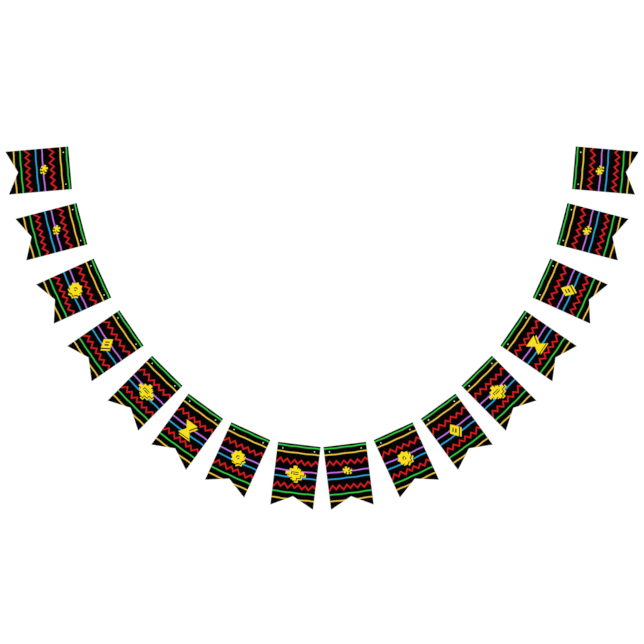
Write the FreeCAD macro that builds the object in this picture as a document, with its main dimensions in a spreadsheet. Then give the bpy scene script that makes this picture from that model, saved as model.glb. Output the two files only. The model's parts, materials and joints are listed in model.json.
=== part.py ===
import FreeCAD, Part
import math
import os

import Sketcher

# A bunting banner of sixteen printed card flags, laid out face up in the long U that they hang in.
#
# Every flag is one die-cut card: square at the top, a swallowtail notch at the foot, and two small holes
# punched near the top corners for the string that the flags are threaded on. The string isn't part of
# this set. All cards carry the same print: wavy lines in green, gold, purple and blue, two rows of red
# zigzag, and one yellow ornament with a drop shadow. The ink is a thin film on the card, one film for
# each field of colour, and every film ends at the card's own edges and holes.
#
# The row frame: X to the right, Y up the layout, Z up out of the printed faces. The undersides of the
# cards lie at Z = 0, and the origin is under the middle of the whole layout.
#
# A flag's own frame: the origin is the middle of its top edge, X runs along that edge and the flag
# hangs down -Y. "Depth" is a distance down from the top edge.

# Each line is a name, its size in mm (or degrees, or a count) and what it is.
SIZES = [
    ("flag_width", 121.0, "along the top edge"),
    ("flag_length", 178.0, "top edge to the tips of the tails"),
    ("notch_depth", 31.0, "tips of the tails up to the notch"),
    ("card_thickness", 0.35, "14 point card"),
    ("hole_diameter", 3.2, "punched string hole"),
    ("hole_inset", 15.5, "side edge to hole centre"),
    ("hole_depth", 15.5, "top edge to hole centre"),
    ("string_gap_1", 42.0, "string across the middle, between the facing holes of its two flags"),
    ("string_gap_2", 57.2, "string from there to the second flag on each side"),
    ("string_gap_3", 58.5, "string to the third flag"),
    ("string_gap_4", 60.1, "string to the fourth flag"),
    ("string_gap_5", 70.4, "string to the fifth flag"),
    ("string_gap_6", 75.4, "string to the sixth flag"),
    ("string_gap_7", 76.5, "string to the seventh flag"),
    ("string_gap_8", 74.1, "string to the last flag on each side"),
    ("ink_thickness", 0.05, "printed film"),
    ("smallest_patch", 1.0, "square mm, a patch of ink smaller than this isn't printed"),
    ("line_width", 3.8, "stroke of the wavy lines"),
    ("zigzag_width", 3.8, "stroke of the zigzags"),
    ("green_depth", 6.8, "top edge to the upper green line"),
    ("gold_depth", 24.6, "top edge to the upper gold line"),
    ("zigzag_depth", 50.3, "top edge to the middle of the upper zigzag"),
    ("line_spacing", 18.3, "purple line to blue line, either side of the print's middle"),
    ("low_zigzag_rise", 18.4, "lower green line up to the middle of the lower zigzag"),
    ("low_green_rise", 9.6, "notch up to the lower green line"),
    ("low_gold_drop", 8.6, "notch down to the lower gold line"),
    ("ripple_height", 0.45, "short ripple of the drawn lines"),
    ("ripple_pitch", 49.0, "crest to crest of the ripple"),
    ("ripple_start", 8.5, "left edge to the first crest"),
    ("swell_height", 0.25, "long swell of the drawn lines"),
    ("swell_pitch", 118.0, "crest to crest of the swell"),
    ("zigzag_pitch", 20.0, "peak to peak"),
    ("zigzag_height", 11.8, "centre of a dip to centre of a peak"),
    ("zigzag_start", 2.2, "left edge to the first dip"),
    ("ornament_margin", 2.2, "zigzag to the ornament or its shadow"),
    ("lozenge_width", 31.0, "across the lozenge"),
    ("lozenge_border", 6.5, "wall of the lozenge, square to its sides"),
    ("step_width", 10.4, "tread of the stepped diamond"),
    ("hourglass_width", 37.0, "across the ends of the hourglass"),
    ("hourglass_waist", 9.0, "across its middle"),
    ("burst_radius", 9.6, "burst to its arms' ends"),
    ("burst_waist", 4.2, "burst to the corners between its arms"),
    ("burst_tip", 5.6, "across the end of a burst's arm"),
    ("burst_rise", 3.3, "purple line up to the burst's centre"),
    ("burst_offset", 4.4, "middle of the flag left to the burst's centre"),
    ("burst_shadow_shift", 7.0, "drop shadow of the burst, right"),
    ("burst_shadow_drop", 3.6, "drop shadow of the burst, down"),
    ("shadow_shift", 5.4, "drop shadow of the other ornaments, right and down"),
    ("shadow_gap_share", 0.44, "black line between face and shadow, as a share of the shadow's shift"),
]

# The bend from each flag to the next, from the middle outwards and alike on both sides: how far the top
# edge turns up, and how much steeper than the mean of the two edges the string between them lies. Both
# are in degrees, and the first pair is the slope of the flags beside the middle.
BENDS = [
    (7.0, 0.0), (17.6, -1.2), (11.5, -3.4), (8.6, 5.6), (10.8, -0.1), (10.2, -1.7), (9.7, -2.6), (9.7, -5.0),
]

# How the drawn zigzag strays from an even one at each turn: along in percent of its pitch, then down in
# percent of its height.
ZIGZAG_STRAY = [
    (0, -2), (3, -14), (-2, -13), (-3, -5), (3, 9), (3, 4), (-1, -7),
    (-2, 4), (0, 4), (-4, 15), (-8, 7), (2, -6), (15, -8),
]

STAR_POINTS = 8
STAR_WAIST_SHARE = 0.76
STAR_WINDOW_SHARE = 0.28
DIAMOND_STEPS = 2
BURST_ARMS = 5

# The ornament of each flag from left to right.
ORNAMENTS = [
    "burst", "burst", "star", "lozenge", "stepped", "hourglass", "star", "stepped",
    "burst", "star", "lozenge", "stepped", "hourglass", "lozenge", "burst", "burst",
]


def make_sheet(doc):
    """The spreadsheet of driving sizes: the named ones, then two for each bend of the layout."""
    sheet = doc.addObject("Spreadsheet::Sheet", "sizes")
    rows = list(SIZES)
    for k, (turn, lean) in enumerate(BENDS, start=1):
        rows.append((f"turn_angle_{k}", turn, "degrees, turn of the flag's top edge"))
        rows.append((f"lean_angle_{k}", lean, "degrees, string steeper than the mean slope"))
    for row, (alias, value, meaning) in enumerate(rows, start=1):
        sheet.set(f"A{row}", alias)
        sheet.set(f"B{row}", str(value))
        sheet.set(f"C{row}", meaning)
        sheet.setAlias(f"B{row}", alias)
    doc.recompute()
    return sheet


def direction(heading):
    """Unit vector along a flag's top edge when it slopes up by heading degrees."""
    angle = math.radians(heading)
    return FreeCAD.Vector(math.cos(angle), math.sin(angle), 0)


def stations(sheet):
    """Placement of every flag, left to right, with the layout centred on the origin.

    The right half is worked out from the middle: each flag's inner hole lies one string gap from the
    last flag's outer hole.
    """
    hole_spacing = sheet.flag_width - 2 * sheet.hole_inset
    half, heading, hole = [], 0.0, None
    for k in range(1, len(BENDS) + 1):
        last = heading
        heading += sheet.get(f"turn_angle_{k}")
        gap = sheet.get(f"string_gap_{k}")
        if hole is None:
            hole = FreeCAD.Vector(gap / 2, 0, 0)
        else:
            hole = hole + direction((last + heading) / 2 + sheet.get(f"lean_angle_{k}")) * gap
        along = direction(heading)
        up = direction(heading + 90)
        half.append((hole + along * (hole_spacing / 2) + up * sheet.hole_depth, heading))
        hole = hole + along * hole_spacing

    mirrored = [(FreeCAD.Vector(-p.x, p.y, 0), -heading) for p, heading in reversed(half)]
    heights = []
    for point, heading in half:
        along, up = direction(heading), direction(heading + 90)
        for side in (-1, 1):
            corner = point + along * (side * sheet.flag_width / 2)
            heights += [corner.y, (corner - up * sheet.flag_length).y]
    middle = FreeCAD.Vector(0, (min(heights) + max(heights)) / 2, 0)
    upright = FreeCAD.Vector(0, 0, 1)
    return [
        FreeCAD.Placement(point - middle, FreeCAD.Rotation(upright, heading))
        for point, heading in mirrored + half
    ]


def bind(sketch, constraint, name, expression):
    """Adds a constraint and ties its value to the sheet."""
    index = sketch.addConstraint(constraint)
    sketch.renameConstraint(index, name)
    sketch.setExpression(f"Constraints.{name}", expression)


def make_card(doc, sheet, label, placement):
    """One die-cut card: a swallowtail outline with two string holes, padded to the card's thickness."""
    body = doc.addObject("PartDesign::Body", label)
    body.Label = label
    sketch = body.newObject("Sketcher::SketchObject", f"{label}_outline")
    plane = next(f for f in body.Origin.OriginFeatures if f.Role == "XY_Plane")
    sketch.AttachmentSupport = [(plane, "")]
    sketch.MapMode = "FlatFace"

    half, length = sheet.flag_width / 2, sheet.flag_length
    corners = [
        FreeCAD.Vector(-half, 0, 0),
        FreeCAD.Vector(half, 0, 0),
        FreeCAD.Vector(half, -length, 0),
        FreeCAD.Vector(0, sheet.notch_depth - length, 0),
        FreeCAD.Vector(-half, -length, 0),
    ]
    top, right, right_tail, left_tail, left = range(5)
    for start, end in zip(corners, corners[1:] + corners[:1]):
        sketch.addGeometry(Part.LineSegment(start, end), False)
    holes = []
    for side in (-1, 1):
        centre = FreeCAD.Vector(side * (half - sheet.hole_inset), -sheet.hole_depth, 0)
        circle = Part.Circle(centre, FreeCAD.Vector(0, 0, 1), sheet.hole_diameter / 2)
        holes.append(sketch.addGeometry(circle, False))

    start, end, centre, x_axis, y_axis = 1, 2, 3, -1, -2
    for line in range(5):
        sketch.addConstraint(Sketcher.Constraint("Coincident", line, end, (line + 1) % 5, start))
    sketch.addConstraint(Sketcher.Constraint("Symmetric", top, start, top, end, y_axis))
    sketch.addConstraint(Sketcher.Constraint("PointOnObject", top, start, x_axis))
    sketch.addConstraint(Sketcher.Constraint("Vertical", right))
    sketch.addConstraint(Sketcher.Constraint("Vertical", left))
    sketch.addConstraint(Sketcher.Constraint("Horizontal", right, end, left, start))
    sketch.addConstraint(Sketcher.Constraint("PointOnObject", right_tail, end, y_axis))
    sketch.addConstraint(Sketcher.Constraint("Symmetric", holes[0], centre, holes[1], centre, y_axis))
    sketch.addConstraint(Sketcher.Constraint("Equal", holes[0], holes[1]))

    width = Sketcher.Constraint("DistanceX", top, start, top, end, sheet.flag_width)
    bind(sketch, width, "width", "sizes.flag_width")
    drop = Sketcher.Constraint("DistanceY", left, start, left, end, sheet.flag_length)
    bind(sketch, drop, "length", "sizes.flag_length")
    notch = Sketcher.Constraint("DistanceY", left_tail, end, left_tail, start, sheet.notch_depth)
    bind(sketch, notch, "notch", "sizes.notch_depth")
    inset = Sketcher.Constraint("DistanceX", top, start, holes[0], centre, sheet.hole_inset)
    bind(sketch, inset, "inset", "sizes.hole_inset")
    depth = Sketcher.Constraint("DistanceY", holes[0], centre, top, start, sheet.hole_depth)
    bind(sketch, depth, "depth", "sizes.hole_depth")
    punch = Sketcher.Constraint("Diameter", holes[0], sheet.hole_diameter)
    bind(sketch, punch, "punch", "sizes.hole_diameter")

    pad = body.newObject("PartDesign::Pad", f"{label}_pad")
    pad.Profile = sketch
    pad.setExpression("Length", "sizes.card_thickness")
    sketch.Visibility = False
    body.Placement = placement
    return body


def flat_face(points):
    """A flat face from the corners of its outline."""
    return Part.Face(Part.makePolygon(points + points[:1]))


def stroke_face(points, width):
    """The face that a pen of this width draws along straight runs, with mitred corners."""
    upright = FreeCAD.Vector(0, 0, 1)
    runs = [(b - a).normalize() for a, b in zip(points, points[1:])]
    runs = runs[:1] + runs + runs[-1:]
    sides = ([], [])
    for point, before, after in zip(points, runs, runs[1:]):
        across = upright.cross(before + after).normalize()
        reach = width / 2 / across.dot(upright.cross(after))
        for side, sign in zip(sides, (1, -1)):
            side.append(point + across * (sign * reach))
    return flat_face(sides[0] + sides[1][::-1])


def line_face(sheet, depth):
    """A wavy line right across a flag, drawn from crest to trough to crest of its ripple."""
    step = sheet.ripple_pitch / 2
    points = []
    for k in range(math.ceil((sheet.flag_width - sheet.ripple_start) / step) + 2):
        from_left = sheet.ripple_start + (k - 1) * step
        ripple = sheet.ripple_height * (1 if k % 2 else -1)
        swell = sheet.swell_height * math.cos(2 * math.pi * from_left / sheet.swell_pitch)
        points.append(FreeCAD.Vector(from_left - sheet.flag_width / 2, ripple + swell - depth, 0))
    return stroke_face(points, sheet.line_width)


def zigzag_face(sheet, depth):
    """A row of zigzag right across a flag, as uneven as a drawn one."""
    points, turn = [], 0
    while not points or points[-1].x < sheet.flag_width / 2:
        along, down = ZIGZAG_STRAY[turn % len(ZIGZAG_STRAY)]
        steps = turn / 2 + along / 100
        rise = (0.5 if turn % 2 else -0.5) - down / 100
        x = sheet.zigzag_start - sheet.flag_width / 2 + steps * sheet.zigzag_pitch
        points.append(FreeCAD.Vector(x, rise * sheet.zigzag_height - depth, 0))
        turn += 1
    before = FreeCAD.Vector(2 * points[0].x - points[1].x, points[1].y, 0)
    return stroke_face([before] + points, sheet.zigzag_width)


def print_depths(sheet):
    """How deep on the flag the middle of each line and zigzag lies, and the room for an ornament."""
    notch = sheet.flag_length - sheet.notch_depth
    low_green = notch - sheet.low_green_rise
    low_zigzag = low_green - sheet.low_zigzag_rise
    middle = (sheet.zigzag_depth + low_zigzag) / 2
    lines = {
        "green": [sheet.green_depth, low_green],
        "gold": [sheet.gold_depth, notch + sheet.low_gold_drop],
        "purple": [middle - sheet.line_spacing / 2],
        "blue": [middle + sheet.line_spacing / 2],
    }
    slope = math.atan2(sheet.zigzag_height, sheet.zigzag_pitch / 2)
    zigzag_reach = sheet.zigzag_height / 2 + sheet.zigzag_width / 2 / math.cos(slope)
    room = low_zigzag - sheet.zigzag_depth - 2 * (zigzag_reach + sheet.ornament_margin)
    return lines, [sheet.zigzag_depth, low_zigzag], middle, room


def ring_points(count, radius, first=90.0):
    """Corners spaced evenly round a circle."""
    return [direction(first + 360 * k / count) * radius for k in range(count)]


def star_face(sheet, height):
    """A star of straight-sided points, one of them straight up, with an opening in the middle."""
    half_turn = 180 / STAR_POINTS
    points = ring_points(STAR_POINTS, height / 2)
    waists = ring_points(STAR_POINTS, height / 2 * STAR_WAIST_SHARE, 90 + half_turn)
    corners = [corner for pair in zip(points, waists) for corner in pair]
    window = ring_points(STAR_POINTS, height / 2 * STAR_WINDOW_SHARE, 90 + half_turn)
    return flat_face(corners).cut(flat_face(window))


def lozenge_face(sheet, height):
    """A tall diamond with a smaller one open in the middle."""
    half_width, half_height = sheet.lozenge_width / 2, height / 2

    def diamond(share):
        return flat_face([
            FreeCAD.Vector(0, share * half_height, 0),
            FreeCAD.Vector(-share * half_width, 0, 0),
            FreeCAD.Vector(0, -share * half_height, 0),
            FreeCAD.Vector(share * half_width, 0, 0),
        ])

    to_side = half_width * half_height / math.hypot(half_width, half_height)
    return diamond(1).cut(diamond(1 - sheet.lozenge_border / to_side))


def stepped_face(sheet, height):
    """A diamond with stair-stepped sides and a bar open in the middle."""
    step_height = height / (2 * DIAMOND_STEPS + 1)
    stairs = []
    for k in range(DIAMOND_STEPS + 1):
        reach = (k + 0.5) * sheet.step_width
        for level in (DIAMOND_STEPS - k + 0.5, DIAMOND_STEPS - k - 0.5):
            stairs.append(FreeCAD.Vector(reach, level * step_height, 0))
    right = stairs + [FreeCAD.Vector(p.x, -p.y, 0) for p in reversed(stairs[:-2])]
    left = [FreeCAD.Vector(-p.x, p.y, 0) for p in reversed(right)]
    window = flat_face([
        FreeCAD.Vector(x * sheet.step_width, y * step_height / 2, 0)
        for x, y in ((-1, -1), (1, -1), (1, 1), (-1, 1))
    ])
    return flat_face(right + left).cut(window)


def hourglass_face(sheet, height):
    """Two triangles tip to tip, joined at a narrow waist."""
    right = [
        FreeCAD.Vector(sheet.hourglass_width / 2, height / 2, 0),
        FreeCAD.Vector(sheet.hourglass_waist / 2, 0, 0),
        FreeCAD.Vector(sheet.hourglass_width / 2, -height / 2, 0),
    ]
    return flat_face(right + [FreeCAD.Vector(-p.x, p.y, 0) for p in reversed(right)])


def burst_face(sheet, height):
    """A small star of blunt arms that widen outwards, one of them straight up."""
    corners = []
    for k in range(BURST_ARMS):
        heading = 90 + 360 * k / BURST_ARMS
        end = direction(heading) * sheet.burst_radius
        across = direction(heading + 90) * (sheet.burst_tip / 2)
        corners += [end - across, end + across]
        corners.append(direction(heading + 180 / BURST_ARMS) * sheet.burst_waist)
    return flat_face(corners)


ORNAMENT_FACES = {
    "burst": burst_face,
    "star": star_face,
    "lozenge": lozenge_face,
    "stepped": stepped_face,
    "hourglass": hourglass_face,
}


def filled(shape):
    """A face without its openings."""
    return Part.Face(shape.Faces[0].OuterWire)


def print_faces(sheet, card_face, ornament):
    """Every field of the print on one flag, by colour, as flat faces in the flag's own frame.

    A large ornament and its shadow are centred on the flag together, and the burst sits on the purple
    line. The lines stop at both and at the black line between them, and don't show in the ornament's
    opening.
    """
    lines, zigzags, middle, room = print_depths(sheet)
    if ornament == "burst":
        shift = FreeCAD.Vector(sheet.burst_shadow_shift, -sheet.burst_shadow_drop, 0)
        centre = FreeCAD.Vector(-sheet.burst_offset, sheet.burst_rise - lines["purple"][0], 0)
    else:
        shift = FreeCAD.Vector(sheet.shadow_shift, -sheet.shadow_shift, 0)
        centre = FreeCAD.Vector(0, -middle, 0) - shift / 2
    front = ORNAMENT_FACES[ornament](sheet, room - sheet.shadow_shift).translated(centre)
    black = front.translated(shift * sheet.shadow_gap_share)
    behind = front.translated(shift)
    shadow = behind.cut([front, black])
    covered = filled(front).fuse([filled(black), filled(behind)])

    drawn = {colour: [line_face(sheet, d) for d in depths] for colour, depths in lines.items()}
    drawn["red"] = [zigzag_face(sheet, d) for d in zigzags]
    fields = {colour: [face.cut(covered) for face in faces] for colour, faces in drawn.items()}
    fields["yellow"] = [front, shadow]
    return {
        colour: [
            face
            for shape in shapes
            for face in shape.common(card_face).Faces
            if face.Area > sheet.smallest_patch
        ]
        for colour, shapes in fields.items()
    }


def printed_side(card):
    """The top face of a card, in the flag's own frame and laid at Z = 0."""
    shape = card.Shape.copy()
    shape.Placement = FreeCAD.Placement()
    face = max(shape.Faces, key=lambda f: f.CenterOfMass.z)
    return face.translated(FreeCAD.Vector(0, 0, -face.CenterOfMass.z))


def make_prints(doc, sheet, cards):
    """One part for each colour of ink: all its films on all the flags, seated on the cards."""
    card_face = printed_side(cards[0])
    masters = {name: print_faces(sheet, card_face, name) for name in sorted(set(ORNAMENTS))}
    on_card = FreeCAD.Vector(0, 0, sheet.card_thickness)
    film = FreeCAD.Vector(0, 0, sheet.ink_thickness)
    parts = []
    for colour in masters["burst"]:
        solids = []
        for k, card in enumerate(cards):
            for face in masters[ORNAMENTS[k % len(ORNAMENTS)]][colour]:
                solid = face.translated(on_card).extrude(film)
                solids.append(solid.transformed(card.Placement.toMatrix(), True))
        part = doc.addObject("Part::Feature", f"print_{colour}")
        part.Label = f"print_{colour}"
        part.Shape = Part.makeCompound(solids)
        parts.append(part)
    return parts


def check(doc, parts):
    """Stops the build if an object failed or a part's shape is missing or broken."""
    for item in doc.Objects:
        if "Invalid" in item.State or "Error" in item.State:
            raise RuntimeError(f"{item.Name} failed: {item.State}")
    for part in parts:
        if part.Shape.isNull() or not part.Shape.isValid() or not part.Shape.Solids:
            raise RuntimeError(f"{part.Label} has no valid solid")


def main():
    doc = FreeCAD.newDocument("bunting_banner")
    sheet = make_sheet(doc)
    cards = [
        make_card(doc, sheet, f"flag_{k:02d}", placement)
        for k, placement in enumerate(stations(sheet), start=1)
    ]
    doc.recompute()
    parts = cards + make_prints(doc, sheet, cards)
    doc.recompute()
    check(doc, parts)
    os.makedirs("parts", exist_ok=True)
    for part in parts:
        part.Shape.exportStep(f"parts/{part.Label}.step")
    return doc, sheet, parts


main()
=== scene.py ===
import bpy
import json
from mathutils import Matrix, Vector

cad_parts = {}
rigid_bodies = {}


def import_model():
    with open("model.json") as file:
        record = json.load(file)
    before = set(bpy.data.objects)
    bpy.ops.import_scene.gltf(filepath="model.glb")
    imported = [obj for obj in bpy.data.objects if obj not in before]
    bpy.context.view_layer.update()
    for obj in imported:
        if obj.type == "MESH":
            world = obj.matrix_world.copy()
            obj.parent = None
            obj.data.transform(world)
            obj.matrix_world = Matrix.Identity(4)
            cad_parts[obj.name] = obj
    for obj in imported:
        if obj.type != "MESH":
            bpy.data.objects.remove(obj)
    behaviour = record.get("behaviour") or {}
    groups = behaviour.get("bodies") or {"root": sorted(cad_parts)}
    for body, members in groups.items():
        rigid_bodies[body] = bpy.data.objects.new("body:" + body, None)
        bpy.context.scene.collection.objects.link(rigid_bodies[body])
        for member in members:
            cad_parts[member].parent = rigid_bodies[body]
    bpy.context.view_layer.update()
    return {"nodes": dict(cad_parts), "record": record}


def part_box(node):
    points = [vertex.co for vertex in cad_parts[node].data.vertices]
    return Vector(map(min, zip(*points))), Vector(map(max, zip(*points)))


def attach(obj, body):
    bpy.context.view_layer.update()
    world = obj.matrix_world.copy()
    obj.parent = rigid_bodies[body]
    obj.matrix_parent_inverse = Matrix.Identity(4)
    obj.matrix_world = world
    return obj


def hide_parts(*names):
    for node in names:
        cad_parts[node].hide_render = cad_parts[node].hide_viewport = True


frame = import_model()

import json
import logging
import math
from dataclasses import dataclass
from enum import Enum
from typing import Any, Callable, Iterable, Sequence

import bmesh
import bpy
from mathutils import Vector
from mathutils.geometry import delaunay_2d_cdt

# A bunting banner of sixteen printed card flags, laid out face up in a long U on a pale floor.
# Lengths are in millimetres up to the point where a mesh is made, and meshes are in metres.
# A flag's own frame has its origin at the middle of the top edge and hangs down -Y.

MM = 0.001
SAME_CORNER = 0.01  # mm: corners of the print that lie closer than this are one
FILL_OUTLINES = 1  # the splitter's setting that keeps the triangles inside the outlines
KEY_DIGITS = 4  # decimals of a mm that tell two corners of a film apart
EDGE_MARGIN = 0.1  # mm: past the card's edge by which a point still counts as on the card
NOISE_SPAN = (0.3, 0.7)  # where nearly all values of a noise texture lie
RELIEF_STRENGTH = 0.6
ROOT = "root"
LOG = logging.getLogger("bunting")

Outline = list[Vector]


class Ink(Enum):
    """The inks of the print. The value is the record's material slot."""

    GREEN = "green"
    GOLD = "gold"
    RED = "red"
    PURPLE = "purple"
    BLUE = "blue"
    YELLOW = "yellow"

    @property
    def cad_node(self) -> str:
        """Name of the CAD node that holds this ink's films."""
        return f"print_{self.value}"


class Ornament(Enum):
    """The yellow ornament in the middle of a flag, in the order of their film collections."""

    BURST = 0
    HOURGLASS = 1
    LOZENGE = 2
    STAR = 3
    STEPPED = 4


ORNAMENT_ORDER = [
    Ornament.BURST, Ornament.BURST, Ornament.STAR, Ornament.LOZENGE,
    Ornament.STEPPED, Ornament.HOURGLASS, Ornament.STAR, Ornament.STEPPED,
    Ornament.BURST, Ornament.STAR, Ornament.LOZENGE, Ornament.STEPPED,
    Ornament.HOURGLASS, Ornament.LOZENGE, Ornament.BURST, Ornament.BURST,
]


def turned(angle: float, length: float = 1.0) -> Vector:
    """Vector of a length at an angle.

    Args:
        angle: degrees from +X, anticlockwise.
        length: length of the vector.

    Returns:
        The vector in the plane.
    """
    return Vector((math.cos(math.radians(angle)), math.sin(math.radians(angle)))) * length


@dataclass(frozen=True)
class FlagPlace:
    """Where a flag lies on the floor.

    Args:
        node: name of the flag's CAD node.
        holes_middle: the point midway between its holes, in mm.
        heading: slope of its top edge in radians.
    """

    node: str
    holes_middle: Vector
    heading: float

    @classmethod
    def from_frame(cls, node: str) -> "FlagPlace":
        """Reads a flag's place from its two string holes in the record.

        Args:
            node: name of the flag's CAD node.

        Returns:
            The place.
        """
        mounts = {mount["name"]: mount for mount in frame["record"]["mounts"]}
        left = Vector(mounts[f"{node}_hole_left"]["pos_m"][:2]) / MM
        right = Vector(mounts[f"{node}_hole_right"]["pos_m"][:2]) / MM
        along = right - left
        return cls(node, (left + right) / 2, math.atan2(along.y, along.x))

    def to_flag(self, point: Vector) -> Vector:
        """A point as seen from the middle of the flag's holes.

        Args:
            point: a point of the row frame, in metres.

        Returns:
            The point in mm, along the top edge and up from the line through the holes.
        """
        offset = Vector(point[:2]) / MM - self.holes_middle
        along = Vector((math.cos(self.heading), math.sin(self.heading)))
        return Vector((offset.dot(along), offset.dot(Vector((-along.y, along.x)))))

    def top_middle(self, hole_depth: float) -> Vector:
        """The middle of the top edge, in mm, when the holes lie hole_depth below that edge."""
        up = Vector((-math.sin(self.heading), math.cos(self.heading)))
        return self.holes_middle + up * hole_depth


@dataclass(frozen=True)
class CardShape:
    """The outline of one die-cut card, in mm.

    Args:
        width: along the top edge.
        length: top edge to the tips of the tails.
        notch: depth of the notch below the top edge.
        thickness: of the card.
        hole_depth: top edge to the holes' centres.
        hole_spacing: between the holes' centres.
        hole_radius: of a hole.
    """

    width: float
    length: float
    notch: float
    thickness: float
    hole_depth: float
    hole_spacing: float
    hole_radius: float

    @classmethod
    def from_frame(cls, place: FlagPlace) -> "CardShape":
        """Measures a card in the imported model.

        Args:
            place: where the card lies.

        Returns:
            The card's sizes.
        """
        mounts = {mount["name"]: mount for mount in frame["record"]["mounts"]}
        left, right = (mounts[f"{place.node}_hole_{side}"] for side in ("left", "right"))
        corners = [place.to_flag(v.co) for v in frame["nodes"][place.node].data.vertices]
        top = max(corner.y for corner in corners)
        bottom = min(corner.y for corner in corners)
        notch = min((corner for corner in corners if corner.y < bottom / 2), key=lambda c: abs(c.x))
        low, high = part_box(place.node)
        return cls(
            width=2 * max(corner.x for corner in corners),
            length=top - bottom,
            notch=top - notch.y,
            thickness=(high.z - low.z) / MM,
            hole_depth=top,
            hole_spacing=(Vector(right["pos_m"]) - Vector(left["pos_m"])).length / MM,
            hole_radius=left["dims"]["r_mm"],
        )

    def outline(self) -> Outline:
        """The card's edge.

        Returns:
            Its corners, anticlockwise from the top left one.
        """
        half = self.width / 2
        return [
            Vector((-half, 0.0)),
            Vector((-half, -self.length)),
            Vector((0.0, -self.notch)),
            Vector((half, -self.length)),
            Vector((half, 0.0)),
        ]

    def holes(self, corners: int = 32) -> list[Outline]:
        """The rims of the two string holes.

        Args:
            corners: how many corners stand for a round rim.

        Returns:
            The left rim and the right one.
        """
        rims = []
        for side in (-1, 1):
            centre = Vector((side * self.hole_spacing / 2, -self.hole_depth))
            rims.append([centre + turned(360 * k / corners, self.hole_radius) for k in range(corners)])
        return rims


# Geometry Nodes


class NodeTree:
    """A Geometry Nodes tree under construction, with named inputs."""

    def __init__(self, name: str) -> None:
        """Starts a tree with a geometry output.

        Args:
            name: name of the tree.
        """
        self.tree = bpy.data.node_groups.new(name, "GeometryNodeTree")
        self.tree.interface.new_socket("Geometry", in_out="OUTPUT", socket_type="NodeSocketGeometry")
        self.inputs = self.tree.nodes.new("NodeGroupInput")
        self.output = self.tree.nodes.new("NodeGroupOutput")

    def input(self, name: str, kind: str) -> bpy.types.NodeSocket:
        """Adds a named input.

        Args:
            name: what the input is called.
            kind: socket type without its "NodeSocket" prefix.

        Returns:
            The socket that gives the input's value inside the tree.
        """
        self.tree.interface.new_socket(name, in_out="INPUT", socket_type=f"NodeSocket{kind}")
        return self.inputs.outputs[name]

    def add(self, kind: str, links: dict[Any, Any] | None = None, **settings: Any) -> bpy.types.Node:
        """Adds a node.

        Args:
            kind: Blender's name of the node type.
            links: input name or index, to a socket to link or a value to set.
            settings: the node's own properties.

        Returns:
            The node.
        """
        node = self.tree.nodes.new(kind)
        for name, value in settings.items():
            setattr(node, name, value)
        for key, value in (links or {}).items():
            if isinstance(value, bpy.types.NodeSocket):
                self.tree.links.new(value, node.inputs[key])
            else:
                node.inputs[key].default_value = value
        return node

    def finish(self, geometry: bpy.types.NodeSocket, material: bpy.types.NodeSocket) -> None:
        """Ends the tree in Realize Instances and Set Material.

        Args:
            geometry: socket of the finished geometry.
            material: socket of its material.
        """
        real = self.add("GeometryNodeRealizeInstances", {"Geometry": geometry})
        dressed = self.add(
            "GeometryNodeSetMaterial", {"Geometry": real.outputs["Geometry"], "Material": material}
        )
        self.tree.links.new(dressed.outputs["Geometry"], self.output.inputs["Geometry"])

    def applied(self, thing: bpy.types.Object, values: dict[str, Any]) -> bpy.types.Mesh:
        """Runs the tree on an object.

        Args:
            thing: the object that gives the tree its geometry.
            values: the tree's other inputs by name.

        Returns:
            The result as a plain mesh. The modifier is gone from the object again.
        """
        modifier = thing.modifiers.new(self.tree.name, "NODES")
        modifier.node_group = self.tree
        for item in self.tree.interface.items_tree:
            if item.in_out == "INPUT" and item.name in values:
                modifier[item.identifier] = values[item.name]
        bpy.context.view_layer.update()
        evaluated = thing.evaluated_get(bpy.context.evaluated_depsgraph_get())
        mesh = bpy.data.meshes.new_from_object(evaluated)
        thing.modifiers.remove(modifier)
        return mesh


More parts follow.
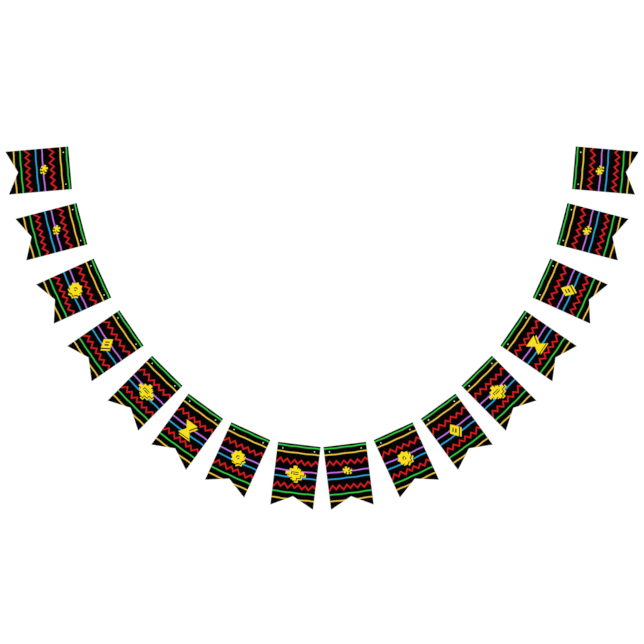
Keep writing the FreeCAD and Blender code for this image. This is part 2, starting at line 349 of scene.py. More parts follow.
def pen_stroke_tree() -> NodeTree:
    """A tree that draws a flat pen stroke of even rise along a path, with slightly uneven edges.

    Returns:
        The tree. Its path is a polyline that only ever runs to the right. Rise is the stroke's height
        across the path, Cuts the extra points on each of the path's runs, Unevenness how far an edge
        strays, Grain how often it does so in a metre, and Seed sets one stroke apart from another.
    """
    build = NodeTree("pen_stroke")
    path = build.input("Path", "Geometry")
    rise = build.input("Rise", "Float")
    cuts = build.input("Cuts", "Int")
    unevenness = build.input("Unevenness", "Float")
    grain = build.input("Grain", "Float")
    seed = build.input("Seed", "Float")
    material = build.input("Material", "Material")

    curve = build.add("GeometryNodeMeshToCurve", {"Mesh": path})
    finer = build.add("GeometryNodeSubdivideCurve", {"Curve": curve.outputs[0], "Cuts": cuts})
    line = build.add("GeometryNodeCurveToMesh", {"Curve": finer.outputs[0]})
    half = build.add("ShaderNodeMath", {0: rise, 1: -0.5}, operation="MULTIPLY")
    down = build.add("ShaderNodeCombineXYZ", {"Y": half.outputs[0]})
    lower = build.add("GeometryNodeSetPosition", {"Geometry": line.outputs[0], "Offset": down.outputs[0]})
    up = build.add("ShaderNodeCombineXYZ", {"Y": rise})
    band = build.add(
        "GeometryNodeExtrudeMesh",
        {"Mesh": lower.outputs[0], "Offset": up.outputs[0], "Offset Scale": 1.0},
        mode="EDGES",
    )
    where = build.add("GeometryNodeInputPosition")
    apart = build.add("ShaderNodeCombineXYZ", {"Z": seed})
    sample = build.add("ShaderNodeVectorMath", {0: where.outputs[0], 1: apart.outputs[0]}, operation="ADD")
    stray = build.add(
        "ShaderNodeTexNoise", {"Vector": sample.outputs[0], "Scale": grain, "Detail": 2.0}
    )
    centred = build.add("ShaderNodeMath", {0: stray.outputs[0], 1: -0.5}, operation="ADD")
    shift = build.add("ShaderNodeMath", {0: centred.outputs[0], 1: unevenness}, operation="MULTIPLY")
    offset = build.add("ShaderNodeCombineXYZ", {"Y": shift.outputs[0]})
    drawn = build.add(
        "GeometryNodeSetPosition", {"Geometry": band.outputs["Mesh"], "Offset": offset.outputs[0]}
    )
    build.finish(drawn.outputs[0], material)
    return build


def print_on_cards_tree() -> NodeTree:
    """A tree that lays each flag's films on its card.

    Returns:
        The tree. Its points carry a heading and the number of an ornament, and Films is a collection
        with one object for each ornament.
    """
    build = NodeTree("print_on_cards")
    points = build.input("Flags", "Geometry")
    films = build.input("Films", "Collection")
    material = build.input("Material", "Material")

    masters = build.add(
        "GeometryNodeCollectionInfo",
        {"Collection": films, "Separate Children": True, "Reset Children": True},
    )
    heading = build.add("GeometryNodeInputNamedAttribute", {"Name": "heading"}, data_type="FLOAT")
    kind = build.add("GeometryNodeInputNamedAttribute", {"Name": "ornament"}, data_type="INT")
    turn = build.add(
        "FunctionNodeAxisAngleToRotation",
        {"Axis": (0.0, 0.0, 1.0), "Angle": heading.outputs["Attribute"]},
    )
    laid = build.add(
        "GeometryNodeInstanceOnPoints",
        {
            "Points": points,
            "Instance": masters.outputs[0],
            "Pick Instance": True,
            "Instance Index": kind.outputs["Attribute"],
            "Rotation": turn.outputs[0],
        },
    )
    build.finish(laid.outputs[0], material)
    return build


# Shapes of the print


@dataclass(frozen=True)
class HandDrawnWave:
    """The gentle wave that every line shares, in mm."""

    ripple_height: float = 0.45
    ripple_pitch: float = 49.0
    ripple_start: float = 8.5
    swell_height: float = 0.25
    swell_pitch: float = 118.0

    def height(self, from_left: float) -> float:
        """How far the line lies above its middle.

        Args:
            from_left: distance from the card's left edge.

        Returns:
            The height.
        """
        ripple = math.cos(2 * math.pi * (from_left - self.ripple_start) / self.ripple_pitch)
        swell = math.cos(2 * math.pi * from_left / self.swell_pitch)
        return self.ripple_height * ripple + self.swell_height * swell


@dataclass(frozen=True)
class Zigzag:
    """The red zigzag, in mm, and how its drawn turns stray from even ones.

    Each stray is along in percent of the pitch, then down in percent of the height.
    """

    pitch: float = 20.0
    height: float = 11.8
    start: float = 2.2
    stroke: float = 3.8
    strays: tuple[tuple[int, int], ...] = (
        (0, -2), (3, -14), (-2, -13), (-3, -5), (3, 9), (3, 4), (-1, -7),
        (-2, 4), (0, 4), (-4, 15), (-8, 7), (2, -6), (15, -8),
    )

    @property
    def rise(self) -> float:
        """Height of the stroke straight up and down, which is more than its width on a slope."""
        return self.stroke / math.cos(math.atan2(self.height, self.pitch / 2))

    def path(self, width: float, depth: float) -> Outline:
        """The zigzag's turns, from past the left edge to past the right edge of a card.

        Args:
            width: of the card.
            depth: of the zigzag's middle below the card's top edge.

        Returns:
            The turns from left to right.
        """
        points: Outline = []
        for turn, (along, down) in enumerate(self.strays):
            x = self.start - width / 2 + (turn / 2 + along / 100) * self.pitch
            y = ((0.5 if turn % 2 else -0.5) - down / 100) * self.height - depth
            points.append(Vector((x, y)))
        before = Vector((2 * points[0].x - points[1].x, points[1].y))
        return [before] + points


@dataclass(frozen=True)
class Ornaments:
    """Outlines of the ornaments, in mm, about their own middle.

    Each is a list whose first outline is the shape and whose others are its openings.
    """

    height: float = 41.2
    star_points: int = 8
    star_waist: float = 0.76
    star_window: float = 0.28
    lozenge_width: float = 31.0
    lozenge_border: float = 6.5
    step_width: float = 10.4
    steps: int = 2
    hourglass_width: float = 37.0
    hourglass_waist: float = 9.0
    burst_arms: int = 5
    burst_radius: float = 9.6
    burst_waist: float = 4.2
    burst_tip: float = 5.6

    def star(self) -> list[Outline]:
        """A star with one point straight up.

        Returns:
            The star and its opening, which has as many sides as the star has points.
        """
        half, step = self.height / 2, 180 / self.star_points
        shape = [
            turned(90 + k * step, half * (self.star_waist if k % 2 else 1))
            for k in range(2 * self.star_points)
        ]
        window = [turned(90 + (2 * k + 1) * step, half * self.star_window) for k in range(self.star_points)]
        return [shape, window]

    def lozenge(self) -> list[Outline]:
        """A tall diamond.

        Returns:
            The diamond and the smaller one that is open inside it.
        """
        half_width, half_height = self.lozenge_width / 2, self.height / 2
        to_side = half_width * half_height / math.hypot(half_width, half_height)
        shares = (1.0, 1.0 - self.lozenge_border / to_side)
        return [
            [
                Vector((0, share * half_height)),
                Vector((-share * half_width, 0)),
                Vector((0, -share * half_height)),
                Vector((share * half_width, 0)),
            ]
            for share in shares
        ]

    def stepped(self) -> list[Outline]:
        """A diamond with stair-stepped sides.

        Returns:
            The diamond and the bar that is open inside it.
        """
        step_height = self.height / (2 * self.steps + 1)
        stairs: Outline = []
        for k in range(self.steps + 1):
            for level in (self.steps - k + 0.5, self.steps - k - 0.5):
                stairs.append(Vector(((k + 0.5) * self.step_width, level * step_height)))
        right = stairs + [Vector((p.x, -p.y)) for p in reversed(stairs[:-2])]
        shape = right + [Vector((-p.x, p.y)) for p in reversed(right)]
        bar = [
            Vector((x * self.step_width, y * step_height / 2))
            for x, y in ((-1, -1), (1, -1), (1, 1), (-1, 1))
        ]
        return [shape, bar]

    def hourglass(self) -> list[Outline]:
        """Two triangles tip to tip, joined at a narrow waist.

        Returns:
            The one outline.
        """
        right = [
            Vector((self.hourglass_width / 2, self.height / 2)),
            Vector((self.hourglass_waist / 2, 0)),
            Vector((self.hourglass_width / 2, -self.height / 2)),
        ]
        return [right + [Vector((-p.x, p.y)) for p in reversed(right)]]

    def burst(self) -> list[Outline]:
        """A small star of blunt arms that widen outwards.

        Returns:
            The one outline.
        """
        shape: Outline = []
        for k in range(self.burst_arms):
            heading = 90 + 360 * k / self.burst_arms
            end = turned(heading, self.burst_radius)
            across = turned(heading + 90, self.burst_tip / 2)
            shape += [end - across, end + across]
            shape.append(turned(heading + 180 / self.burst_arms, self.burst_waist))
        return [shape]

    def outlines(self, ornament: Ornament) -> list[Outline]:
        """The outlines of one ornament.

        Args:
            ornament: which one.

        Returns:
            Its shape and then its openings.
        """
        makers: dict[Ornament, Callable[[], list[Outline]]] = {
            Ornament.BURST: self.burst,
            Ornament.HOURGLASS: self.hourglass,
            Ornament.LOZENGE: self.lozenge,
            Ornament.STAR: self.star,
            Ornament.STEPPED: self.stepped,
        }
        return makers[ornament]()


class PrintedSheet:
    """The flat print of one kind of flag, cut into fields of ink.

    All outlines are laid over each other and split into triangles that no outline crosses, and each
    triangle then goes to the ink that shows there.
    """

    def __init__(self) -> None:
        """Starts an empty sheet."""
        self.corners: list[Vector] = []
        self.faces: list[list[int]] = []
        self.names: list[str] = []

    def lay(self, name: str, outline: Outline) -> None:
        """Lays an outline on the sheet, anticlockwise.

        Args:
            name: what the outline stands for. Other outlines may share it.
            outline: its corners, either way round.
        """
        first = len(self.corners)
        twice_area = sum(a.cross(b) for a, b in zip(outline, outline[1:] + outline[:1]))
        self.corners += outline if twice_area > 0 else outline[::-1]
        self.faces.append(list(range(first, len(self.corners))))
        self.names.append(name)

    def lay_mesh(self, name: str, mesh: bpy.types.Mesh) -> None:
        """Lays every face of a flat mesh on the sheet.

        Args:
            name: what the mesh stands for.
            mesh: the mesh, in metres.
        """
        first = len(self.corners)
        self.corners += [Vector(v.co[:2]) / MM for v in mesh.vertices]
        for polygon in mesh.polygons:
            face = [first + index for index in polygon.vertices]
            self.faces.append(face if polygon.normal.z > 0 else face[::-1])
            self.names.append(name)

    def split(self, chosen: Callable[[set[str]], Ink | None]) -> dict[Ink, list[tuple[Vector, ...]]]:
        """Splits the sheet and shares its triangles out.

        Args:
            chosen: the ink that shows where the named outlines lie over each other, or None.

        Returns:
            The triangles of each ink, anticlockwise.
        """
        corners, _, triangles, _, _, sources = delaunay_2d_cdt(
            self.corners, [], self.faces, FILL_OUTLINES, SAME_CORNER, True
        )
        fields: dict[Ink, list[tuple[Vector, ...]]] = {ink: [] for ink in Ink}
        for triangle, inside in zip(triangles, sources):
            ink = chosen({self.names[source] for source in inside})
            if ink is not None:
                fields[ink].append(tuple(corners[index] for index in triangle))
        return fields


def film_mesh(
    name: str, triangles: Iterable[tuple[Vector, ...]], bottom: float, top: float
) -> bpy.types.Mesh:
    """A closed film of ink over a patch of triangles.

    Args:
        name: name of the mesh.
        triangles: the patch, anticlockwise, in mm.
        bottom: height of the film's underside in mm.
        top: height of its upper side in mm.

    Returns:
        The mesh, in metres.
    """
    build = bmesh.new()
    layers: dict[float, dict[tuple[float, float], bmesh.types.BMVert]] = {bottom: {}, top: {}}

    def corner(point: Vector, level: float) -> bmesh.types.BMVert:
        """The film's corner over a point.

        Args:
            point: the point, in mm.
            level: bottom or top.

        Returns:
            The corner, which is made the first time that it is asked for.
        """
        key = (round(point.x, KEY_DIGITS), round(point.y, KEY_DIGITS))
        if key not in layers[level]:
            layers[level][key] = build.verts.new((point.x * MM, point.y * MM, level * MM))
        return layers[level][key]

    for triangle in triangles:
        upper = [corner(point, top) for point in triangle]
        if len(set(upper)) == 3:
            build.faces.new(upper)
            build.faces.new([corner(point, bottom) for point in reversed(triangle)])
    pairs = {layers[top][key]: layers[bottom][key] for key in layers[top]}
    rims = [edge for edge in build.edges if len(edge.link_faces) == 1 and edge.verts[0] in pairs]
    for edge in rims:
        loop = edge.link_faces[0].loops[:]
        start = next(l.vert for l in loop if l.edge == edge)
        end = edge.other_vert(start)
        build.faces.new([end, start, pairs[start], pairs[end]])
    mesh = bpy.data.meshes.new(name)
    build.to_mesh(mesh)
    build.free()
    return mesh


# Finishes


class Shader:
    """Material nodes under construction around a Principled shader."""

    def __init__(self, name: str) -> None:
        """Starts a material with a Principled shader and Object coordinates.

        Args:
            name: name of the material.
        """
        self.material = bpy.data.materials.new(name)
        self.material.use_nodes = True
        self.nodes = self.material.node_tree.nodes
        self.links = self.material.node_tree.links
        self.principled = self.nodes["Principled BSDF"]
        self.place = self.nodes.new("ShaderNodeTexCoord").outputs["Object"]

    def add(self, kind: str, links: dict[Any, Any], **settings: Any) -> bpy.types.Node:
        """Adds a node.

        Args:
            kind: Blender's name of the node type.
            links: input name or index, to a socket to link or a value to set.
            settings: the node's own properties.

        Returns:
            The node.
        """
        node = self.nodes.new(kind)
        for name, value in settings.items():
            setattr(node, name, value)
        for key, value in links.items():
            if isinstance(value, bpy.types.NodeSocket):
                self.links.new(value, node.inputs[key])
            else:
                node.inputs[key].default_value = value
        return node

    def noise(self, size: float, detail: float = 4.0) -> bpy.types.NodeSocket:
        """A noise value.

        Args:
            size: width of its blotches in mm.
            detail: how much finer noise lies on them.

        Returns:
            Socket of the value.
        """
        texture = self.add(
            "ShaderNodeTexNoise", {"Vector": self.place, "Scale": 1 / (size * MM), "Detail": detail}
        )
        return texture.outputs[0]

    def spread(self, value: bpy.types.NodeSocket, low: float, high: float) -> bpy.types.NodeSocket:
        """A noise value spread over a range.

        Args:
            value: socket of the noise.
            low: least value wanted.
            high: greatest value wanted.

        Returns:
            Socket of the spread value.
        """
        node = self.add(
            "ShaderNodeMapRange",
            {
                "Value": value,
                "From Min": NOISE_SPAN[0],
                "From Max": NOISE_SPAN[1],
                "To Min": low,
                "To Max": high,
            },
        )
        return node.outputs["Result"]

    def mixed(self, share: Any, first: Any, second: Any) -> bpy.types.NodeSocket:
        """A colour between two others.

        Args:
            share: how much of the second colour it has, from 0 to 1.
            first: colour or socket.
            second: colour or socket.

        Returns:
            Socket of the mixed colour.
        """
        node = self.add("ShaderNodeMix", {"Factor": share}, data_type="RGBA")
        for key, value in ((6, first), (7, second)):
            if isinstance(value, bpy.types.NodeSocket):
                self.links.new(value, node.inputs[key])
            else:
                node.inputs[key].default_value = value
        return node.outputs[2]

    def shaded(
        self, colour: Sequence[float], share: bpy.types.NodeSocket, loss: float
    ) -> bpy.types.NodeSocket:
        """A colour that is darker in places.

        Args:
            colour: linear colour.
            share: socket of how much of the loss shows, from 0 to 1.
            loss: share of its light that the colour loses at most.

        Returns:
            Socket of the colour.
        """
        darker = tuple(channel * (1 - loss) for channel in colour)
        return self.mixed(share, (*colour, 1.0), (*darker, 1.0))

    def surface(self, colour: Any, roughness: Any, height: Any, depth: float, specular: float) -> None:
        """Links the finished colour, roughness and relief to the shader.

        Args:
            colour: socket of the base colour.
            roughness: socket of the roughness.
            height: socket of the relief, from 0 to 1.
            depth: height of the relief in mm.
            specular: the shader's specular level, set on its socket.
        """
        relief = self.add(
            "ShaderNodeBump", {"Height": height, "Distance": depth * MM, "Strength": RELIEF_STRENGTH}
        )
        self.links.new(colour, self.principled.inputs["Base Color"])
        self.links.new(roughness, self.principled.inputs["Roughness"])
        self.links.new(relief.outputs[0], self.principled.inputs["Normal"])
        self.principled.inputs["Specular IOR Level"].default_value = specular


def linear(red: int, green: int, blue: int) -> tuple[float, float, float]:
    """A colour in linear light.

    Args:
        red: screen value from 0 to 255.
        green: screen value from 0 to 255.
        blue: screen value from 0 to 255.

    Returns:
        The same colour in linear values from 0 to 1.
    """

    def channel(value: int) -> float:
        """One screen value in linear light."""
        share = value / 255
        return share / 12.92 if share <= 0.04045 else ((share + 0.055) / 1.055) ** 2.4

    return channel(red), channel(green), channel(blue)


@dataclass(frozen=True)
class InkFinish:
    """Matt printing ink on card: slightly mottled, with the card's grain showing in its surface.

    Args:
        name: name of the material.
        colour: linear colour.
        mottle: share of light lost in the darkest blotches.
        blotch: width of the blotches in mm.
        grain: width of the card's grain in mm.
        tooth: height of the grain in mm.
        roughness: least and greatest roughness.
        specular: the shader's specular level.
    """

    name: str
    colour: tuple[float, float, float]
    mottle: float = 0.1
    blotch: float = 2.2
    grain: float = 0.4
    tooth: float = 0.03
    roughness: tuple[float, float] = (0.45, 0.65)
    specular: float = 0.12

    def material(self) -> bpy.types.Material:
        """Builds the material.

        Returns:
            The finished material.
        """
        shader = Shader(self.name)
        blotches = shader.spread(shader.noise(self.blotch), 0.0, 1.0)
        grain = shader.noise(self.grain)
        colour = shader.shaded(self.colour, blotches, self.mottle)
        roughness = shader.spread(grain, *self.roughness)
        shader.surface(colour, roughness, grain, self.tooth, self.specular)
        return shader.material


@dataclass(frozen=True)
class CardFinish:
    """White card printed solid black on its face, with white cut edges and a plain white back.

    Args:
        name: name of the material.
        face_height: height of the printed face, in mm.
        black: linear colour of the black print.
        board: linear colour of the bare card.
        fibre: linear colour of its fibres.
        print_depth: how far below the printed face the black ends at the cut edges, in mm.
        mottle: share of light that the black loses in its darkest blotches.
        blotch: width of those blotches in mm.
        fleck: width of the flecks of fibre in mm.
        grain: width of the card's grain in mm.
        tooth: height of the grain in mm.
        roughness: least and greatest roughness.
        specular: the shader's specular level.
    """

    name: str
    face_height: float
    black: tuple[float, float, float] = linear(3, 3, 3)
    board: tuple[float, float, float] = linear(232, 230, 224)
    fibre: tuple[float, float, float] = linear(208, 203, 192)
    print_depth: float = 0.02
    mottle: float = 0.5
    blotch: float = 2.2
    fleck: float = 0.8
    grain: float = 0.4
    tooth: float = 0.03
    roughness: tuple[float, float] = (0.5, 0.7)
    specular: float = 0.015

    def material(self) -> bpy.types.Material:
        """Builds the material.

        Returns:
            The finished material.
        """
        shader = Shader(self.name)
        grain = shader.noise(self.grain)
        flecks = shader.spread(shader.noise(self.fleck, detail=5.0), 0.0, 1.0)
        board = shader.mixed(flecks, (*self.board, 1.0), (*self.fibre, 1.0))
        blotches = shader.spread(shader.noise(self.blotch), 0.0, 1.0)
        black = shader.shaded(self.black, blotches, self.mottle)
        height = shader.add("ShaderNodeSeparateXYZ", {0: shader.place}).outputs["Z"]
        printed = shader.add(
            "ShaderNodeMath",
            {0: height, 1: (self.face_height - self.print_depth) * MM},
            operation="GREATER_THAN",
        ).outputs[0]
        colour = shader.mixed(printed, board, black)
        roughness = shader.spread(grain, *self.roughness)
        shader.surface(colour, roughness, grain, self.tooth, self.specular)
        return shader.material


INK_FINISHES = {
    Ink.GREEN: InkFinish("green_ink", linear(52, 210, 68)),
    Ink.GOLD: InkFinish("gold_ink", linear(244, 202, 67)),
    Ink.RED: InkFinish("red_ink", linear(222, 20, 26)),
    Ink.PURPLE: InkFinish("purple_ink", linear(200, 114, 236)),
    Ink.BLUE: InkFinish("blue_ink", linear(40, 170, 226)),
    Ink.YELLOW: InkFinish("yellow_ink", linear(255, 228, 16)),
}


# The flags


@dataclass
class BuntingPrint:
    """The print on all the flags: one piece of thin films for each ink.

    Args:
        card: shape of the card.
        places: where the flags lie.
        wave: the wave of the lines.
        zigzag: the zigzag.
        ornaments: the ornaments' outlines.
        line_stroke: width of the wavy lines in mm.
        run: distance between points of a wavy line in mm.
        zigzag_cuts: extra points on each run of the zigzag.
        unevenness: how far a stroke's edge strays, in mm.
        grain: wander of the edge, in turns per mm.
        shadow_shift: from a large ornament to its drop shadow, in mm.
        burst_shadow_shift: from the burst to its drop shadow, in mm.
        burst_offset: from where the purple line crosses the flag's middle to the burst's middle, in mm.
        gap_share: black line between face and shadow, as a share of the shadow's shift.
    """

    card: CardShape
    places: list[FlagPlace]
    wave: HandDrawnWave = HandDrawnWave()
    zigzag: Zigzag = Zigzag()
    ornaments: Ornaments = Ornaments()
    line_stroke: float = 3.5
    run: float = 3.0
    zigzag_cuts: int = 6
    unevenness: float = 0.5
    grain: float = 0.12
    shadow_shift: tuple[float, float] = (5.4, -5.4)
    burst_shadow_shift: tuple[float, float] = (7.0, -3.6)
    burst_offset: tuple[float, float] = (-4.4, 3.3)
    gap_share: float = 0.44

    def depths(self, ink: Ink) -> list[float]:
        """How deep on a flag the middles of one ink's strokes lie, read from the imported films.

        Args:
            ink: one of the inks that is drawn in strokes.

        Returns:
            The depths in mm, from the top edge down.
        """
        corners = [self.places[0].to_flag(v.co) for v in frame["nodes"][ink.cad_node].data.vertices]
        heights = sorted(
            corner.y - self.card.hole_depth
            for corner in corners
            if corner.length < 2 * self.card.width
            and abs(corner.x) <= self.card.width / 2 + EDGE_MARGIN
        )
        groups = [[heights[0]]]
        for height in heights[1:]:
            if height - groups[-1][-1] > 2 * self.line_stroke:
                groups.append([])
            groups[-1].append(height)
        return sorted(-(group[0] + group[-1]) / 2 for group in groups)

    def line_path(self, depth: float) -> Outline:
        """Points of a wavy line, from past the left edge to past the right edge of a card.

        Args:
            depth: of the line below the card's top edge.

        Returns:
            The points from left to right.
        """
        count = math.ceil(self.card.width / self.run) + 2
        return [
            Vector((x, self.wave.height(x + self.card.width / 2) - depth))
            for x in (-self.card.width / 2 + (k - 1) * self.run for k in range(count + 1))
        ]

    def stroke(self, tree: NodeTree, path: Outline, rise: float, cuts: int, seed: int) -> bpy.types.Mesh:
        """Draws one flat pen stroke.

        Args:
            tree: the tree that draws it.
            path: points along its middle, in mm.
            rise: its height straight up and down, in mm.
            cuts: extra points on each run of the path.
            seed: sets its edges apart from those of other strokes.

        Returns:
            The stroke's mesh, in metres.
        """
        mesh = bpy.data.meshes.new("stroke_path")
        edges = [(k, k + 1) for k in range(len(path) - 1)]
        mesh.from_pydata([(p.x * MM, p.y * MM, 0.0) for p in path], edges, [])
        thing = bpy.data.objects.new("stroke_path", mesh)
        bpy.context.scene.collection.objects.link(thing)
        drawn = tree.applied(thing, {
            "Rise": rise * MM,
            "Cuts": cuts,
            "Unevenness": self.unevenness * MM,
            "Grain": self.grain / MM,
            "Seed": float(seed),
        })
        bpy.data.objects.remove(thing)
        return drawn

    def strokes(self) -> list[tuple[Ink, bpy.types.Mesh]]:
        """Draws every stroke of one flag.

        Returns:
            The ink and the flat mesh of each.
        """
        tree = pen_stroke_tree()
        drawn: list[tuple[Ink, bpy.types.Mesh]] = []
        for ink in (Ink.GREEN, Ink.GOLD, Ink.PURPLE, Ink.BLUE):
            for depth in self.depths(ink):
                path = self.line_path(depth)
                drawn.append((ink, self.stroke(tree, path, self.line_stroke, 0, len(drawn))))
        for depth in self.depths(Ink.RED):
            path = self.zigzag.path(self.card.width, depth)
            mesh = self.stroke(tree, path, self.zigzag.rise, self.zigzag_cuts, len(drawn))
            drawn.append((Ink.RED, mesh))
        return drawn

    def sheet(self, ornament: Ornament, strokes: list[tuple[Ink, bpy.types.Mesh]]) -> PrintedSheet:
        """The outlines of one kind of flag laid over each other.

        Args:
            ornament: the flag's ornament.
            strokes: the strokes that all flags share.

        Returns:
            The sheet, ready to be split.
        """
        sheet = PrintedSheet()
        sheet.lay("card", self.card.outline())
        for rim in self.card.holes():
            sheet.lay("hole", rim)
        for ink, mesh in strokes:
            sheet.lay_mesh(ink.name, mesh)
        purple, blue = self.depths(Ink.PURPLE)[0], self.depths(Ink.BLUE)[0]
        if ornament is Ornament.BURST:
            shift = Vector(self.burst_shadow_shift)
            centre = Vector((0, -purple)) + Vector(self.burst_offset)
        else:
            shift = Vector(self.shadow_shift)
            centre = Vector((0, -(purple + blue) / 2)) - shift / 2
        shape, *openings = self.ornaments.outlines(ornament)
        for name, share in (("front", 0.0), ("black", self.gap_share), ("behind", 1.0)):
            moved = centre + shift * share
            sheet.lay(name, [point + moved for point in shape])
            for opening in openings:
                sheet.lay(f"{name}_opening", [point + moved for point in opening])
        return sheet

    @staticmethod
    def chosen(names: set[str]) -> Ink | None:
        """Chooses the ink that shows where some outlines lie over each other.

        Args:
            names: names of those outlines.

        Returns:
            The ink, or None for the card's black and for no card.
        """
        if "card" not in names or "hole" in names:
            return None
        layers = names & {"front", "black", "behind"}
        solid = {name for name in layers if f"{name}_opening" not in names}
        if "front" in solid or ("behind" in solid and "black" not in solid):
            return Ink.YELLOW
        if layers:
            return None
        return next((ink for ink in Ink if ink.name in names), None)

    def points(self) -> bpy.types.Object:
        """A point for each flag.

        Returns:
            The points' object. They carry the flag's heading and the number of its ornament.
        """
        tops = [place.top_middle(self.card.hole_depth) * MM for place in self.places]
        mesh = bpy.data.meshes.new("flag_points")
        mesh.from_pydata([(top.x, top.y, 0.0) for top in tops], [], [])
        heading = mesh.attributes.new("heading", "FLOAT", "POINT")
        heading.data.foreach_set("value", [place.heading for place in self.places])
        kind = mesh.attributes.new("ornament", "INT", "POINT")
        kind.data.foreach_set("value", [ornament.value for ornament in ORNAMENT_ORDER])
        thing = bpy.data.objects.new("flag_points", mesh)
        bpy.context.scene.collection.objects.link(thing)
        return thing

    def build(self) -> list[bpy.types.Object]:
        """Makes the piece of each ink, in place of the CAD films.

        Returns:
            The pieces.
        """
        strokes = self.strokes()
        fields = {
            ornament: self.sheet(ornament, strokes).split(self.chosen) for ornament in Ornament
        }
        low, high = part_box(Ink.YELLOW.cad_node)
        bottom, top = low.z / MM, high.z / MM
        points = self.points()
        tree = print_on_cards_tree()
        pieces = []
        for ink in Ink:
            material = INK_FINISHES[ink].material()
            films = bpy.data.collections.new(f"films_{ink.value}")
            bpy.context.scene.collection.children.link(films)
            for ornament in Ornament:
                name = f"film_{ornament.name.lower()}_{ink.value}"
                mesh = film_mesh(name, fields[ornament][ink], bottom, top)
                mesh.materials.append(material)
                films.objects.link(bpy.data.objects.new(name, mesh))
            mesh = tree.applied(points, {"Films": films, "Material": material})
            for master in list(films.objects):
                bpy.data.objects.remove(master)
            bpy.data.collections.remove(films)
            piece = bpy.data.objects.new(f"ink_{ink.value}", mesh)
            bpy.context.scene.collection.objects.link(piece)
            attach(piece, ROOT)
            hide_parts(ink.cad_node)
            LOG.info("%s: %d faces", piece.name, len(mesh.polygons))
            pieces.append(piece)
        bpy.data.objects.remove(points)
        return pieces


@dataclass
class Cards:
    """The sixteen die-cut cards, which keep their CAD shape.

    Args:
        card: shape of the card.
        places: where the flags lie.
    """

    card: CardShape
    places: list[FlagPlace]

    def dress(self) -> None:
        """Gives every card its finish."""
        material = CardFinish("printed_card", self.card.thickness).material()
        for place in self.places:
            thing = frame["nodes"][place.node]
            thing.data.materials.clear()
            thing.data.materials.append(material)
            LOG.info("%s: dressed", thing.name)


# Surroundings


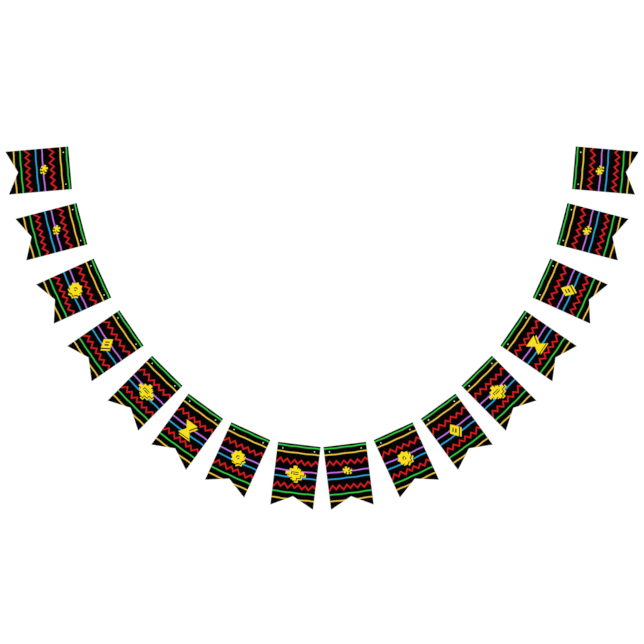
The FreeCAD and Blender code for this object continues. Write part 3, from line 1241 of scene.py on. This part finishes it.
@dataclass(frozen=True)
class Studio:
    """The floor, the light and the camera.

    Args:
        photo_width: width of the photograph in pixels.
        scale: mm for each pixel of the photograph.
        aim_rise: how far the photograph's middle lies above the layout's middle, in pixels.
        lens: focal length in mm.
        sensor: width of the sensor in mm.
        floor_size: side of the floor in metres.
        clearance: undersides of the cards down to the floor, in mm.
        white_lift: light that the floor shows the camera on top of what falls on it.
        floor_tone: lightness of the floor.
        sky: even light from all around.
        sun_spread: how wide a sun is, in degrees.
        suns: each sun's name, where it stands and its strength.
    """

    photo_width: int = 644
    scale: float = 2.8145
    aim_rise: float = 6.05
    lens: float = 135.0
    sensor: float = 36.0
    floor_size: float = 60.0
    clearance: float = 0.3
    white_lift: float = 0.23
    floor_tone: float = 0.8
    sky: float = 0.4
    sun_spread: float = 35.0
    suns: tuple[tuple[str, tuple[float, float, float], float], ...] = (
        ("left_sun", (-3.0, 2.0, 4.0), 1.5),
        ("right_sun", (3.5, 0.5, 3.5), 1.1),
    )

    def floor(self) -> None:
        """A pale floor that the camera sees as white, with the flags' own soft shadows on it."""
        mesh = bpy.data.meshes.new("floor")
        half = self.floor_size / 2
        mesh.from_pydata(
            [(x * half, y * half, -self.clearance * MM) for x, y in ((-1, -1), (1, -1), (1, 1), (-1, 1))],
            [],
            [(0, 1, 2, 3)],
        )
        floor = bpy.data.objects.new("floor", mesh)
        bpy.context.scene.collection.objects.link(floor)
        material = bpy.data.materials.new("pale_floor")
        material.use_nodes = True
        nodes, links = material.node_tree.nodes, material.node_tree.links
        nodes.clear()
        diffuse = nodes.new("ShaderNodeBsdfDiffuse")
        diffuse.inputs["Color"].default_value = (self.floor_tone, self.floor_tone, self.floor_tone, 1.0)
        seen = nodes.new("ShaderNodeLightPath").outputs
        lift = nodes.new("ShaderNodeMath")
        lift.operation = "MULTIPLY"
        lift.inputs[1].default_value = self.white_lift
        links.new(seen["Is Camera Ray"], lift.inputs[0])
        glow = nodes.new("ShaderNodeEmission")
        links.new(lift.outputs[0], glow.inputs["Strength"])
        both = nodes.new("ShaderNodeAddShader")
        links.new(diffuse.outputs[0], both.inputs[0])
        links.new(glow.outputs[0], both.inputs[1])
        output = nodes.new("ShaderNodeOutputMaterial")
        links.new(both.outputs[0], output.inputs["Surface"])
        mesh.materials.append(material)

    def lights(self) -> None:
        """Two wide suns from the sides and an even sky, which the camera sees as white."""
        world = bpy.data.worlds.new("studio")
        world.use_nodes = True
        nodes, links = world.node_tree.nodes, world.node_tree.links
        background = nodes["Background"]
        background.inputs["Color"].default_value = (1.0, 1.0, 1.0, 1.0)
        strength = nodes.new("ShaderNodeMapRange")
        strength.inputs["To Min"].default_value = self.sky
        links.new(nodes.new("ShaderNodeLightPath").outputs["Is Camera Ray"], strength.inputs["Value"])
        links.new(strength.outputs["Result"], background.inputs["Strength"])
        bpy.context.scene.world = world
        for name, place, power in self.suns:
            sun = bpy.data.lights.new(name, "SUN")
            sun.energy = power
            sun.angle = math.radians(self.sun_spread)
            thing = bpy.data.objects.new(name, sun)
            thing.location = place
            thing.rotation_euler = (-Vector(place)).to_track_quat("-Z", "Y").to_euler()
            bpy.context.scene.collection.objects.link(thing)

    def camera(self) -> None:
        """A camera straight above the layout that frames it as the photograph does."""
        width = self.photo_width * self.scale * MM
        data = bpy.data.cameras.new("camera")
        data.lens = self.lens
        data.sensor_width = self.sensor
        thing = bpy.data.objects.new("camera", data)
        thing.location = (0.0, self.aim_rise * self.scale * MM, width * self.lens / self.sensor)
        bpy.context.scene.collection.objects.link(thing)
        bpy.context.scene.camera = thing

    def build(self) -> None:
        """Makes the surroundings."""
        bpy.context.scene.view_settings.view_transform = "Standard"
        self.floor()
        self.lights()
        self.camera()


def main() -> None:
    """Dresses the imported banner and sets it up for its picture."""
    logging.basicConfig(level=logging.INFO, format="%(name)s: %(message)s")
    Studio().build()
    flags = sorted(node for node in frame["nodes"] if node.startswith("flag_"))
    places = [FlagPlace.from_frame(node) for node in flags]
    card = CardShape.from_frame(places[0])
    LOG.info("card %.1f x %.1f mm", card.width, card.length)
    Cards(card, places).dress()
    BuntingPrint(card, places).build()


if __name__ == "__main__":
    main()
